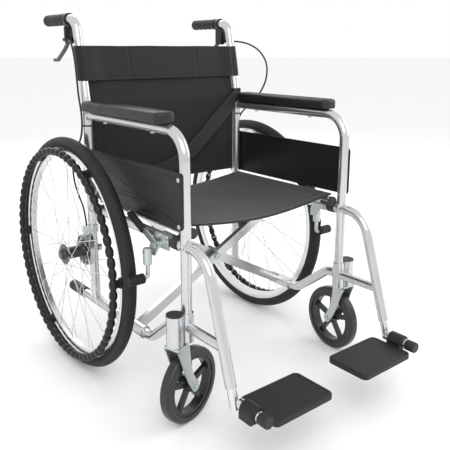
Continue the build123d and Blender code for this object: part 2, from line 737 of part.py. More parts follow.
# ---------------------------------------------------------------- wheel lock
lock_x = right_x - lock_x_offset
shoe_x = right_x - shoe_x_offset
bracket_in_x = outer_x - seat_gap
bracket_out_x = bracket_in_x - 4
bracket_outline = [
    (lock_pivot_y - 33, side_rail_z - 18),
    (lock_pivot_y - 33, side_rail_z + 16),
    (lock_pivot_y + 17, side_rail_z + 16),
    (shoe_pivot_y + 10, shoe_pivot_z + 10),
    (shoe_pivot_y + 10, shoe_pivot_z - 10),
    (shoe_pivot_y - 10, shoe_pivot_z - 10),
    (lock_pivot_y + 7, side_rail_z - 18),
]
clamp_front_y = lock_pivot_y - 25
clamp_rear_y = lock_pivot_y + 10
with BuildPart() as lock_bracket:
    with BuildSketch(Plane.YZ.offset(bracket_out_x)):
        with BuildLine():
            Polyline(*bracket_outline, close=True)
        make_face()
    extrude(amount=bracket_in_x - bracket_out_x)
    # clamp round the side rail
    bar_y(clamp_front_y, clamp_rear_y, right_x, side_rail_z, tube_r + 3)
    bar_y(clamp_front_y - 1, clamp_rear_y + 1, right_x, side_rail_z, cope_r, Mode.SUBTRACT)
    # clamp nuts and the two pivot pins
    for y in (clamp_front_y + 2, clamp_rear_y - 5):
        bar_x(bracket_out_x - 5, bracket_out_x, y, side_rail_z + 8, 5)
    bar_x(lock_x - 7, bracket_out_x, lock_pivot_y, lock_pivot_z, lock_pin_r)
    bar_x(lock_x - 7, lock_x - 3, lock_pivot_y, lock_pivot_z, lock_pin_r + 3)
    bar_x(shoe_x - 11, bracket_out_x, shoe_pivot_y, shoe_pivot_z, lock_pin_r)
save_pair(lock_bracket.part, "lock_bracket")

lock_angle = degrees(atan2(lock_tip_z - lock_pivot_z, lock_tip_y - lock_pivot_y))
lock_length = hypot(lock_tip_z - lock_pivot_z, lock_tip_y - lock_pivot_y)
lock_plane = Plane(Location((lock_x, lock_pivot_y, lock_pivot_z), (lock_angle, 0, 0)))
with BuildPart() as lock_lever:
    # drawn along +Y from the pivot, then turned up to its resting angle
    with Locations(lock_plane.location * Location((0, lock_length / 2 - 10, 0))):
        Box(4, lock_length - 30, 14)
    with Locations(lock_plane.location * Location((0, lock_length - 32, 0), (90, 0, 0))):
        Cylinder(8, 64)
    bar_x(lock_x + 2, bracket_out_x - seat_gap, lock_pivot_y, lock_pivot_z, lock_pin_r + 4)
    bar_x(lock_x - 2, lock_x + 2, lock_pivot_y, lock_pivot_z, 9)
    bar_x(lock_x - 3, bracket_out_x, lock_pivot_y, lock_pivot_z, lock_pin_r + fit_gap, Mode.SUBTRACT)
save_pair(lock_lever.part, "lock_lever")

shoe_rod_r = 5.0
shoe_points = [
    (shoe_x, shoe_pivot_y, shoe_pivot_z - 28),
    (shoe_x, shoe_pivot_y, shoe_z),
    (right_x - shoe_out + 2, shoe_pivot_y, shoe_z),
]
shoe_rod = bent_tube(shoe_points, [7], shoe_rod_r, 0)
with BuildPart() as lock_shoe:
    add(shoe_rod)
    bar_z(shoe_pivot_z - 30, shoe_pivot_z + 8, shoe_x, shoe_pivot_y, 10)
    bar_x(shoe_x - 12, shoe_x + 12, shoe_pivot_y, shoe_pivot_z, lock_pin_r + fit_gap, Mode.SUBTRACT)
with BuildPart() as lock_block:
    shoe_low = (right_x - shoe_out, shoe_front_y, shoe_z - shoe_half)
    block(shoe_low, (right_x - shoe_in, shoe_rear_y, shoe_z + shoe_half))
    rod_end_x = right_x - shoe_out + 2
    socket_r = shoe_rod_r + fit_gap
    bar_x(rod_end_x - seat_gap, right_x - shoe_in + 1, shoe_pivot_y, shoe_z, socket_r, Mode.SUBTRACT)
shoe_pieces = Compound(children=[*lock_shoe.part.solids(), *lock_block.part.solids()])
save_pair(shoe_pieces, "lock_shoe")

# ---------------------------------------------------------------- brakes
hand_clamp_low_y = hand_clamp_y - hand_clamp_width / 2
hand_clamp_high_y = hand_clamp_y + hand_clamp_width / 2
ferrule_out = 6.0  # ferrule axis, outboard of the face of the frame tubes
ferrule_x = outer_x - ferrule_out
ferrule_front_y = 56.0
ferrule_rear_y = 74.0
ferrule_r = 5.0
cheek_front_y = 67.0
with BuildPart() as brake_bracket:
    bar_y(hand_clamp_low_y, hand_clamp_high_y, right_x, handle_z, tube_r + 4)
    bar_y(hand_clamp_low_y - 1, hand_clamp_high_y + 1, right_x, handle_z, cope_r, Mode.SUBTRACT)
    # two cheeks carry the lever between them, and the ferrule holds the cable
    cheek_top_z = handle_z - tube_r - 1
    block((right_x - 8, cheek_front_y, cheek_top_z - 12), (right_x + 8, hand_clamp_high_y, cheek_top_z))
    for x in (right_x - 8, right_x + 4):
        block((x, cheek_front_y, hand_pivot_z - 10), (x + 4, hand_clamp_high_y, cheek_top_z - 4))
    bar_x(right_x - 8, right_x + 8, hand_pivot_y, hand_pivot_z, hand_pin_r)
    block((ferrule_x, cheek_front_y, hand_pivot_z - 5), (right_x - 8, ferrule_rear_y, cheek_top_z - 6))
    bar_y(ferrule_front_y, ferrule_rear_y, ferrule_x, hand_pivot_z, ferrule_r)
save_pair(brake_bracket.part, "brake_bracket")

blade_points = [(hand_pivot_y, hand_pivot_z), (115, 825), (159, 799), (179, 799)]
with BuildPart() as brake_lever:
    with BuildSketch(Plane.YZ.offset(right_x - 3.5)):
        with BuildLine():
            Polyline(*blade_points)
        trace(line_width=8)
        for point in blade_points:
            with Locations(point):
                Circle(4)
        with Locations(blade_points[0]):
            Circle(8)
            Circle(hand_pin_r + fit_gap, mode=Mode.SUBTRACT)
    extrude(amount=7)
save_pair(brake_lever.part, "brake_lever")

band_r = drum_r + band_gap
lug_z = 372.0
with BuildPart() as band_brake:
    bar_x(drum_x, drum_x - drum_width, 0, wheel_r, band_r + band_thick)
    block((drum_x - 8, -8, wheel_r + band_r), (drum_x, 8, lug_z - 12))
    bar_x(drum_x, drum_x - drum_width, 0, wheel_r, band_r, Mode.SUBTRACT)
    # clamp on the upright, with the lug where the cable ends
    bar_z(lug_z - 20, lug_z, right_x, 0, tube_r + 3)
    block((drum_x - 8, -8, lug_z - 20), (outer_x, 8, lug_z))
    bar_z(lug_z - 21, lug_z + 1, right_x, 0, cope_r, Mode.SUBTRACT)
save_pair(band_brake.part, "band_brake")

# each point: outboard of the face of the frame tubes, then Y and Z
cable_low = [
    (4.2, -1, tie_z),
    (4.5, 10, 600),
    (6, 40, 570),
    (7, 62, 530),
    (7, 62, 485),
    (6, 38, 445),
    (6, 8, 415),
    (6, 0, lug_z + 0.5),
]
right_cable = [
    (ferrule_out, ferrule_front_y - 0.9, hand_pivot_z),
    (13, 24, 848),
    (19, 0, 830),
    (18, -8, 795),
    (12, 0, 750),
    (7, 6, 710),
    (4, 1, 672),
    *cable_low,
]
left_cable = [
    (ferrule_out, ferrule_front_y - 0.9, hand_pivot_z),
    (18, 20, 851),
    (28, -18, 842),
    (35, -56, 822),
    (38, -84, 786),
    (36, -84, 740),
    (31, -66, 704),
    (25, -38, 670),
    *cable_low,
]


def cable_bends(points):
    """The largest radius that each corner's two runs allow."""
    bends = []
    for before, here, after in zip(points, points[1:], points[2:]):
        one = Vector(*here) - Vector(*before)
        two = Vector(*after) - Vector(*here)
        half_turn = radians(one.get_angle(two) / 2)
        bends.append(0.45 * min(one.length, two.length) / tan(half_turn))
    return bends


for side, places in (("right", right_cable), ("left", left_cable)):
    points = [(outer_x - out, y, z) for out, y, z in places]
    bends = cable_bends(points)
    length = sum(edge.length for edge in route(points, bends).edges())
    cable = bent_tube(points, bends, cable_r, 0)
    print(side, "cable radii", [round(bend) for bend in bends])
    print(side, "cable volume", cable.volume, "section x length", pi * cable_r**2 * length)
    if side == "left":
        cable = mirror(cable, about=Plane.YZ)
    save(cable, f"{side}_brake_cable")
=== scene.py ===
"""Folding manual wheelchair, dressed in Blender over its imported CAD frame.

Metres. +Z is up, the floor is Z = 0, and the chair faces -Y. Right is -X and left is +X.
"""
from math import atan2, cos, exp, pi, radians, sin, sqrt

import bmesh
import bpy
from mathutils import Matrix, Vector, noise


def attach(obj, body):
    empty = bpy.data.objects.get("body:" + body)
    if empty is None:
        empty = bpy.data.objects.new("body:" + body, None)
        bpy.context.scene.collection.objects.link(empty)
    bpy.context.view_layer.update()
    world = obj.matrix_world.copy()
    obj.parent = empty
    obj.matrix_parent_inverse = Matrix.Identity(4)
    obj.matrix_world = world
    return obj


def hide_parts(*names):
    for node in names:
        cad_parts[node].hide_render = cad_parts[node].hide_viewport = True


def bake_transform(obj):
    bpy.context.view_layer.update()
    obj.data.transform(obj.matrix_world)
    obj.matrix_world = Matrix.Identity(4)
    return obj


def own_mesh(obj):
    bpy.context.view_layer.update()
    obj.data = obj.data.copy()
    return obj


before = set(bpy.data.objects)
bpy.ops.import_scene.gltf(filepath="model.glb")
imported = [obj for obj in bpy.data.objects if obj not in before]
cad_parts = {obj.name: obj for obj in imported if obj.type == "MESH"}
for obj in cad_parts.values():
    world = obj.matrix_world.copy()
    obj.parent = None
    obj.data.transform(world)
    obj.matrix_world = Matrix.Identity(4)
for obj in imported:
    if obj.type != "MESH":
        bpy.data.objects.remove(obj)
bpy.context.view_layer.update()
scene = bpy.context.scene

# ------------------------------------------------------------------ photo studio
# A white sweep of paper under the chair, an even bright surround of white card, and three large
# soft boxes: one over the front left, one low on the right and one behind for the tube edges.
view_back = Vector((-0.6095, -0.7607, 0.2234))
view_target = Vector((-0.0401, -0.2857, 0.4933))
camera = bpy.data.objects.new("camera", bpy.data.cameras.new("camera"))
camera.location = view_target + view_back * 1.5003
camera.rotation_euler = view_back.to_track_quat("Z", "Y").to_euler()
camera.data.lens = 48.27
camera.data.sensor_width = 36
camera.data.shift_x = 0.0099
camera.data.shift_y = -0.0839
camera.data.clip_end = 200
scene.collection.objects.link(camera)
scene.camera = camera

paper = bpy.data.materials.new("white_paper")
paper.use_nodes = True
paper_shader = paper.node_tree.nodes["Principled BSDF"]
paper_shader.inputs["Base Color"].default_value = (0.93, 0.93, 0.93, 1)
paper_shader.inputs["Roughness"].default_value = 0.9
paper_shader.inputs["Specular IOR Level"].default_value = 0.1
sweep = bmesh.new()
bmesh.ops.create_circle(sweep, cap_ends=True, radius=60, segments=96)
floor = bpy.data.objects.new("floor", bpy.data.meshes.new("floor"))
sweep.to_mesh(floor.data)
sweep.free()
floor.data.materials.append(paper)
scene.collection.objects.link(floor)

world = bpy.data.worlds.new("white_card")
world.use_nodes = True
world.node_tree.nodes["Background"].inputs["Color"].default_value = (1, 1, 1, 1)
world.node_tree.nodes["Background"].inputs["Strength"].default_value = 1.0
scene.world = world
scene.view_settings.view_transform = "Standard"

for name, place, size, power in (
    ("soft_box_left", (-1.6, -2.4, 2.6), 2.2, 44),
    ("soft_box_right", (2.6, -1.2, 1.6), 2.0, 20),
    ("soft_box_rear", (0.6, 2.6, 2.4), 2.2, 28),
):
    soft_box = bpy.data.objects.new(name, bpy.data.lights.new(name, "AREA"))
    soft_box.data.energy = power
    soft_box.data.size = size
    soft_box.location = place
    soft_box.rotation_euler = (Vector(place) - Vector((0, -0.2, 0.4))).to_track_quat("Z", "Y").to_euler()
    scene.collection.objects.link(soft_box)

# ------------------------------------------------------------------ brake cables
# One cable a side in a black plastic sheath, clipped into the ferrule under the push handle and
# tied to the rear upright. It bows outboard of the back, then drops to the lug over the drum.
# Each point is its distance outboard of the tube faces, then Y and Z, in millimetres.
tube_face = 262.0
cable_low = [
    (4.2, -1, 636), (4.5, 10, 600), (6, 40, 570), (7, 62, 530),
    (7, 62, 485), (6, 38, 445), (6, 8, 415), (6, 0, 372.5),
]
cable_high = {
    "right": [
        (6, 55.1, 852), (13, 24, 848), (19, 0, 830), (18, -8, 795),
        (12, 0, 750), (7, 6, 710), (4, 1, 672),
    ],
    "left": [
        (6, 55.1, 852), (18, 20, 851), (28, -18, 842), (35, -56, 822),
        (38, -84, 786), (36, -84, 740), (31, -66, 704), (25, -38, 670),
    ],
}
cable_thick = 0.005


def finish(name, colour, roughness, metallic=0.0, coat=0.0, specular=0.5):
    """A new material with one plain finish, before its surface detail is added."""
    material = bpy.data.materials.new(name)
    material.use_nodes = True
    shader = material.node_tree.nodes["Principled BSDF"]
    shader.inputs["Base Color"].default_value = (*colour, 1)
    shader.inputs["Roughness"].default_value = roughness
    shader.inputs["Metallic"].default_value = metallic
    shader.inputs["Coat Weight"].default_value = coat
    shader.inputs["Coat Roughness"].default_value = 0.15
    shader.inputs["Specular IOR Level"].default_value = specular
    return material


def shade_over(material, factor, tint):
    """The colour runs from a darker to a lighter shade as the factor goes from 0 to 1."""
    nodes, links = material.node_tree.nodes, material.node_tree.links
    shader = nodes["Principled BSDF"]
    colour = shader.inputs["Base Color"].default_value[:3]
    blend = nodes.new("ShaderNodeMix")
    blend.data_type = "RGBA"
    blend.inputs["A"].default_value = (*[c * (1 - tint) for c in colour], 1)
    blend.inputs["B"].default_value = (*[min(1, c * (1 + tint)) for c in colour], 1)
    links.new(factor, blend.inputs["Factor"])
    links.new(blend.outputs["Result"], shader.inputs["Base Color"])


def grain(material, size, depth, patch=0.06, tint=0.12, gloss=0.07, stretch=(1, 1, 1)):
    """Fine relief of one size, with slow changes of shade and gloss from patch to patch."""
    nodes, links = material.node_tree.nodes, material.node_tree.links
    shader = nodes["Principled BSDF"]
    place = nodes.new("ShaderNodeTexCoord")
    spread = nodes.new("ShaderNodeMapping")
    spread.inputs["Scale"].default_value = stretch
    fine = nodes.new("ShaderNodeTexNoise")
    fine.inputs["Scale"].default_value = 1 / size
    fine.inputs["Detail"].default_value = 3
    slow = nodes.new("ShaderNodeTexNoise")
    slow.inputs["Scale"].default_value = 1 / patch
    slow.inputs["Detail"].default_value = 5
    slow.inputs["Roughness"].default_value = 0.65
    links.new(place.outputs["Object"], spread.inputs["Vector"])
    links.new(spread.outputs["Vector"], fine.inputs["Vector"])
    links.new(place.outputs["Object"], slow.inputs["Vector"])
    shade_over(material, slow.outputs["Fac"], tint)
    wear = nodes.new("ShaderNodeMapRange")
    rough = shader.inputs["Roughness"].default_value
    wear.inputs["From Min"].default_value = 0.3
    wear.inputs["From Max"].default_value = 0.7
    wear.inputs["To Min"].default_value = max(0.02, rough - gloss)
    wear.inputs["To Max"].default_value = min(1, rough + gloss)
    links.new(slow.outputs["Fac"], wear.inputs["Value"])
    links.new(wear.outputs["Result"], shader.inputs["Roughness"])
    relief = nodes.new("ShaderNodeBump")
    relief.inputs["Distance"].default_value = depth
    relief.inputs["Strength"].default_value = 0.6
    links.new(fine.outputs["Fac"], relief.inputs["Height"])
    links.new(relief.outputs["Normal"], shader.inputs["Normal"])


cable_plastic = finish("cable_plastic", (0.012, 0.012, 0.013), 0.42)
grain(cable_plastic, 0.0012, 0.00005, patch=0.03, tint=0.2)
for side, sign in (("right", -1), ("left", 1)):
    line = bpy.data.curves.new(f"{side}_cable", "CURVE")
    line.dimensions = "3D"
    points = cable_high[side] + cable_low
    run = line.splines.new("NURBS")
    run.points.add(len(points) - 1)
    for point, (out, y, z) in zip(run.points, points):
        point.co = (sign * (tube_face + out) / 1000, y / 1000, z / 1000, 1)
    run.order_u = 3
    run.use_endpoint_u = True
    run.resolution_u = 12
    line.bevel_depth = cable_thick / 2
    line.bevel_resolution = 5
    line.use_fill_caps = True
    cable = bpy.data.objects.new(f"{side}_cable", line)
    scene.collection.objects.link(cable)
    line.materials.append(cable_plastic)
    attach(cable, f"{side}_frame")
    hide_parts(f"{side}_brake_cable")

# ------------------------------------------------------------------ side frames
# Two welded frames of round steel tube in silver metallic paint: rear upright with the push
# handle, armrest tube, side rail with the footrest hanger, and lower rail with the caster barrel.
frame_paint = finish("silver_paint", (0.58, 0.59, 0.60), 0.22, metallic=0.92, coat=0.3)
grain(frame_paint, 0.0009, 0.000005, patch=0.09, tint=0.05, gloss=0.06)


def dress(material, *names):
    """Gives the CAD pieces of these names, on both sides where there are two, a material."""
    for name in names:
        for node in (name, f"right_{name}", f"left_{name}"):
            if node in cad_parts:
                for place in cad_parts[node].material_slots:
                    place.material = material


dress(frame_paint, "rear_upright", "arm_tube", "side_rail_and_hanger", "lower_frame")


def turned(shape, outline, centre, axis, steps=48, closed=False):
    """A shape turned on a lathe. The outline's pairs are distance along the axis and radius."""
    along = Vector(axis).normalized()
    out = Vector((0, 0, 1)) if abs(along.z) < 0.9 else Vector((0, 1, 0))
    out = (out - along * out.dot(along)).normalized()
    ring = [shape.verts.new(Vector(centre) + along * a + out * r) for a, r in outline]
    pairs = list(zip(ring, ring[1:])) + ([(ring[-1], ring[0])] if closed else [])
    edges = [shape.edges.new(pair) for pair in pairs]
    bmesh.ops.spin(
        shape, geom=ring + edges, cent=centre, axis=along, angle=2 * pi, steps=steps, use_merge=True
    )


def rounded_box(shape, low, high, corner, lip, corner_steps=6, lip_steps=3, upright="Z"):
    """A block with its four upright edges rounded, then the edges of its two flat faces."""
    made = bmesh.ops.create_cube(shape, size=1)["verts"]
    centre = [(a + b) / 2 for a, b in zip(low, high)]
    bmesh.ops.scale(shape, vec=[b - a for a, b in zip(low, high)], verts=made)
    bmesh.ops.translate(shape, vec=centre, verts=made)
    axis = "XYZ".index(upright)
    sides = [
        e for e in {e for v in made for e in v.link_edges}
        if abs((e.verts[0].co - e.verts[1].co)[axis]) > 1e-5
    ]
    if corner:
        bmesh.ops.bevel(
            shape, geom=sides, offset=corner, offset_type="OFFSET", affect="EDGES",
            segments=corner_steps, profile=0.5, material=-1,
        )
    if lip:
        shape.faces.ensure_lookup_table()
        flat = [
            f for f in shape.faces
            if abs(f.normal[axis]) > 0.99
            and min(abs(f.calc_center_median()[axis] - end[axis]) for end in (low, high)) < 1e-6
            and all(low[i] - 1e-6 <= v.co[i] <= high[i] + 1e-6 for v in f.verts for i in range(3))
        ]
        rims = list({e for f in flat for e in f.edges})
        bmesh.ops.bevel(
            shape, geom=rims, offset=lip, offset_type="OFFSET", affect="EDGES",
            segments=lip_steps, profile=0.5, material=-1,
        )


def make_piece(name, shape, material, body, slot, *replaced, sharp=35):
    """Turns a finished shape into a piece that rides on its body and stands for CAD nodes."""
    bmesh.ops.remove_doubles(shape, verts=shape.verts, dist=1e-6)
    bmesh.ops.recalc_face_normals(shape, faces=shape.faces)
    for face in shape.faces:
        face.smooth = True
    for edge in shape.edges:
        edge.smooth = len(edge.link_faces) != 2 or edge.calc_face_angle(0) < radians(sharp)
    piece = bpy.data.objects.new(name, bpy.data.meshes.new(name))
    shape.to_mesh(piece.data)
    shape.free()
    piece.data.materials.append(material)
    scene.collection.objects.link(piece)
    if body:
        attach(piece, body)
    if replaced:
        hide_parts(*replaced)
    return piece


def even_normals(piece):
    """Keeps the broad flat faces of a moulding flat beside their small rounded edges."""
    evener = piece.modifiers.new("even_normals", "WEIGHTED_NORMAL")
    evener.keep_sharp = True


def to_side(shape, sign):
    """A shape drawn on the left side, moved to the side of this sign."""
    bmesh.ops.scale(shape, vec=(sign, 1, 1), verts=shape.verts)


sides = (("right", -1), ("left", 1))
frame_x = 0.250

# A bead of weld runs round each tube where it is coped to the next one, and is painted over.
for side, sign in sides:
    beads = bmesh.new()
    for centre, axis in (
        ((frame_x, -0.0125, 0.664), (0, 1, 0)),
        ((frame_x, -0.0125, 0.420), (0, 1, 0)),
        ((frame_x, -0.4175, 0.420), (0, 1, 0)),
        ((frame_x, -0.4425, 0.420), (0, 1, 0)),
        ((frame_x, 0, 0.1675), (0, 0, 1)),
        ((frame_x, -0.4175, 0.238), (0, 1, 0)),
    ):
        bead = [(0.0016 * sin(a * pi / 4), 0.0121 + 0.0016 * cos(a * pi / 4)) for a in range(8)]
        turned(beads, bead, centre, axis, steps=60, closed=True)
    for vert in beads.verts:
        ripple = noise.noise(vert.co * 420)
        vert.co += Vector((0, 1, 1)) * ripple * 0.0003
    to_side(beads, sign)
    make_piece(f"{side}_welds", beads, frame_paint, f"{side}_frame", "frame_paint")

# ------------------------------------------------------------------ scissor brace
# Two flat oval bars cross at one bolt. Each turns on a lower rail and carries a seat rail, in
# the same silver paint as the frames, and the bolt and the screws are bright zinc.
zinc = finish("zinc_plate", (0.52, 0.56, 0.56), 0.33, metallic=0.9)
grain(zinc, 0.0016, 0.000008, patch=0.03, tint=0.10, gloss=0.06)
dress(frame_paint, "brace_a", "brace_b")
dress(zinc, "brace_pivot_bolt", "frame_fasteners", "band_brake")

black_caps = finish("black_cap", (0.018, 0.018, 0.019), 0.5)
grain(black_caps, 0.0012, 0.00006, patch=0.03, tint=0.2)
dress(black_caps, "frame_caps")

# ------------------------------------------------------------------ push grips
# Moulded black rubber sleeves pushed over the ends of the uprights, with a collar at the front,
# a rounded closed end and four finger waves along the underside.
grip_rubber = finish("grip_rubber", (0.0100, 0.0100, 0.0105), 0.58, specular=0.35)
grain(grip_rubber, 0.0011, 0.0001, patch=0.03, tint=0.2)
handle_z = 0.903
grip_front, grip_wide = 0.096, 0.016
for side, sign in sides:
    grip = bmesh.new()
    outline = [(0, 0.0122), (0, 0.0152), (0.001, grip_wide), (0.006, grip_wide), (0.008, 0.0148)]
    outline += [(0.010 + 0.002 * k, 0.0152) for k in range(50)]
    outline += [(0.1115, 0.0148), (0.1142, 0.0125), (0.1156, 0.0085), (0.116, 0)]
    turned(grip, outline, (frame_x, grip_front, handle_z), (0, 1, 0), steps=40)
    for vert in grip.verts:
        along = (vert.co.y - grip_front - 0.012) / 0.022
        below = (handle_z - vert.co.z) / grip_wide
        if 0 < along < 4.4 and below > 0.1:
            vert.co.z += 0.0034 * below * (0.5 - 0.5 * cos(2 * pi * along))
        ribbed = abs((vert.co.y - grip_front) / 0.004 % 1 - 0.5) * 2
        if 0.012 < vert.co.y - grip_front < 0.108 and below < 0.1:
            vert.co.z -= 0.0005 * ribbed * (-below + 0.1)
    to_side(grip, sign)
    make_piece(
        f"{side}_grip", grip, grip_rubber, f"{side}_frame", "grip_rubber", f"{side}_push_grip", sharp=55
    )

# ------------------------------------------------------------------ armrest pads
# Self-skinned foam blocks, screwed down on the armrest tubes from below. The skin is semi-matte
# black with a fine leather grain, softly crowned on top and rounded at both ends.
pad_skin = finish("pad_skin", (0.0130, 0.0130, 0.0135), 0.42, specular=0.4)
grain(pad_skin, 0.0016, 0.00022, patch=0.05, tint=0.15)
pad_low, pad_high = (0.231, -0.378, 0.6763), (0.281, -0.018, 0.7008)
for side, sign in sides:
    pad = bmesh.new()
    rounded_box(pad, pad_low, pad_high, 0.0175, 0, corner_steps=8)
    top = [f for f in pad.faces if f.normal.z > 0.99]
    rims = list({e for f in top for e in f.edges})
    bmesh.ops.bevel(
        pad, geom=rims, offset=0.008, offset_type="OFFSET", affect="EDGES",
        segments=5, profile=0.5, material=-1,
    )
    pad.normal_update()
    top = [f for f in pad.faces if f.normal.z > 0.999]
    bmesh.ops.inset_region(pad, faces=top, thickness=0.006, depth=0.0008, use_even_offset=True)
    pad.normal_update()
    top = [f for f in pad.faces if f.normal.z > 0.999]
    bmesh.ops.inset_region(pad, faces=top, thickness=0.007, depth=0.0005, use_even_offset=True)
    foot = [f for f in pad.faces if f.normal.z < -0.99]
    bmesh.ops.bevel(
        pad, geom=list({e for f in foot for e in f.edges}), offset=0.003, offset_type="OFFSET",
        affect="EDGES", segments=2, profile=0.5, material=-1,
    )
    to_side(pad, sign)
    pad_piece = make_piece(
        f"{side}_pad", pad, pad_skin, f"{side}_frame", "pad_plastic", f"{side}_armrest_pad", sharp=60
    )
    even_normals(pad_piece)

# ------------------------------------------------------------------ skirt guards
# Thin moulded black panels between the armrest and the seat, screwed to the upright and the
# front post. A raised border and pairs of long ribs stiffen the outer face.
guard_plastic = finish("guard_plastic", (0.0085, 0.0085, 0.0090), 0.42, specular=0.35)
grain(guard_plastic, 0.0014, 0.00012, patch=0.07, tint=0.15)
guard_low, guard_high = (0.2623, -0.440, 0.457), (0.2648, 0.010, 0.580)
for side, sign in sides:
    guard = bmesh.new()
    rounded_box(guard, guard_low, guard_high, 0.010, 0.0006, lip_steps=2, upright="X")
    guard.normal_update()
    outer = [f for f in guard.faces if f.normal.x > 0.999 and f.calc_area() > 0.01]
    bmesh.ops.inset_region(guard, faces=outer, thickness=0.005, use_even_offset=True)
    bmesh.ops.inset_region(guard, faces=outer, thickness=0.0012, depth=0.0008, use_even_offset=True)
    bmesh.ops.inset_region(guard, faces=outer, thickness=0.0030, use_even_offset=True)
    bmesh.ops.inset_region(guard, faces=outer, thickness=0.0012, depth=-0.0011, use_even_offset=True)
    for y, z, length in (
        (-0.300, 0.545, 0.100), (-0.300, 0.536, 0.100), (-0.140, 0.545, 0.150), (-0.140, 0.536, 0.150),
        (-0.330, 0.500, 0.060), (-0.330, 0.491, 0.060), (-0.180, 0.500, 0.190), (-0.180, 0.491, 0.190),
    ):
        rib_low = (guard_high[0] - 0.001, y - length / 2, z - 0.0018)
        rib_high = (guard_high[0] + 0.0006, y + length / 2, z + 0.0018)
        rounded_box(guard, rib_low, rib_high, 0.0016, 0.0004, corner_steps=3, lip_steps=1, upright="X")
    to_side(guard, sign)
    even_normals(make_piece(
        f"{side}_guard", guard, guard_plastic, f"{side}_frame", "guard_plastic",
        f"{side}_skirt_guard", sharp=25,
    ))
dress(guard_plastic, "brake_bracket")

# ------------------------------------------------------------------ seat
# Heavy charcoal nylon stretched between the seat rails, hemmed all round and sewn in rows beside
# the rails. It sags a little in the middle.
sling_fabric = finish("sling_nylon", (0.0125, 0.0130, 0.0150), 0.74, specular=0.22)


def weave(material, threads, depth, crease=0.0):
    """Plain weave on the piece's own map, with uneven threads and faint creases, and painted shade that makes
    the colour darker in the crease dips and lighter on their crests.
    """
    nodes, links = material.node_tree.nodes, material.node_tree.links
    shader = nodes["Principled BSDF"]
    shader.inputs["Sheen Weight"].default_value = 0.25
    shader.inputs["Sheen Roughness"].default_value = 0.5
    place = nodes.new("ShaderNodeTexCoord")
    bands = []
    for direction in ("X", "Y"):
        band = nodes.new("ShaderNodeTexWave")
        band.bands_direction = direction
        band.inputs["Scale"].default_value = threads
        band.inputs["Distortion"].default_value = 0.6
        band.inputs["Detail"].default_value = 1
        links.new(place.outputs["UV"], band.inputs["Vector"])
        bands.append(band)
    over = nodes.new("ShaderNodeMath")
    over.operation = "MULTIPLY"
    links.new(bands[0].outputs["Fac"], over.inputs[0])
    links.new(bands[1].outputs["Fac"], over.inputs[1])
    folds_and_painted_shade = nodes.new("ShaderNodeTexNoise")
    folds_and_painted_shade.inputs["Scale"].default_value = 14
    folds_and_painted_shade.inputs["Detail"].default_value = 6
    folds_and_painted_shade.inputs["Roughness"].default_value = 0.6
    links.new(place.outputs["Object"], folds_and_painted_shade.inputs["Vector"])
    # Painted shade: the noise that bumps the creases also darkens the colour in their dips and lightens it on
    # their crests.
    shade_over(material, folds_and_painted_shade.outputs["Fac"], 0.28)
    first = nodes.new("ShaderNodeBump")
    first.inputs["Distance"].default_value = crease
    first.inputs["Strength"].default_value = 0.5
    links.new(folds_and_painted_shade.outputs["Fac"], first.inputs["Height"])
    second = nodes.new("ShaderNodeBump")
    second.inputs["Distance"].default_value = depth
    second.inputs["Strength"].default_value = 0.5
    links.new(over.outputs[0], second.inputs["Height"])
    links.new(first.outputs["Normal"], second.inputs["Normal"])
    links.new(second.outputs["Normal"], shader.inputs["Normal"])


weave(sling_fabric, 90, 0.0002, crease=0.0015)


def cloth(name, columns, rows, place, thick, material, body, slot, *replaced):
    """A sheet of fabric. place(u, v) gives the middle of the sheet, u and v running from -1 to 1."""
    shape = bmesh.new()
    shape.loops.layers.uv.verify()
    bmesh.ops.create_grid(shape, x_segments=columns, y_segments=rows, size=1, calc_uvs=True)
    for vert in shape.verts:
        vert.co = place(vert.co.x, vert.co.y)
    piece = make_piece(name, shape, material, body, slot, *replaced)
    wall = piece.modifiers.new("wall", "SOLIDIFY")
    wall.thickness = thick
    wall.offset = 0
    return piece


def ridge(value, at, width, height):
    """A soft ridge, or with a negative height a groove, across one value."""
    return height * exp(-(((value - at) / width) ** 2))


seat_half, seat_front, seat_rear = 0.238, -0.405, -0.025
seat_bow = 2.0275
seat_bow_z = 2.4706


def seat_point(u, v):
    """The seat's arc, with a hem at the front and rear and grooves at the sewn rows."""
    x = seat_half * u
    y = (seat_front + seat_rear) / 2 + (seat_rear - seat_front) / 2 * v
    z = seat_bow_z - sqrt(seat_bow**2 - x**2)
    for at in (0.196, 0.204):
        z += ridge(abs(x), at, 0.0016, -0.0009)
    for at in (seat_front + 0.022, seat_rear - 0.022):
        z += ridge(y, at, 0.0016, -0.0009)
    z -= 0.0075 * (1 - u * u) ** 2
    z += 0.0007 * noise.noise(Vector((x * 9, y * 9, 0))) * (1 - abs(u)) * 2
    return Vector((x, y, z))


seat = cloth("seat", 150, 120, seat_point, 0.0042, sling_fabric, None, "sling_fabric", "seat_sling")
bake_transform(seat)

# Black plastic caps are pushed over both ends of each seat rail.
cap_outline = [
    (-0.006, 0.0111), (-0.006, 0.0119), (0.0035, 0.0121), (0.0050, 0.0112), (0.0056, 0.0090), (0.0058, 0),
]
for side, sign, brace in (("right", -1, "brace_b"), ("left", 1, "brace_a")):
    rail_caps = bmesh.new()
    for end_y, out in ((-0.420, -1), (-0.024, 1)):
        turned(rail_caps, cap_outline, (0.225, end_y, 0.442), (0, out, 0), steps=40)
    to_side(rail_caps, sign)
    make_piece(f"{side}_rail_caps", rail_caps, black_caps, brace, "cap_plastic")

# ------------------------------------------------------------------ back
# The same nylon in two parts: a wide panel fixed to the uprights below, and over it a band
# sewn into sleeves that slip down over the uprights, with two upright seams.
lean = 0.040 / 0.213
back_edge = 0.2365


def back_lean(z):
    """How far the uprights lean back at a height."""
    return max(0, z - 0.690) * lean


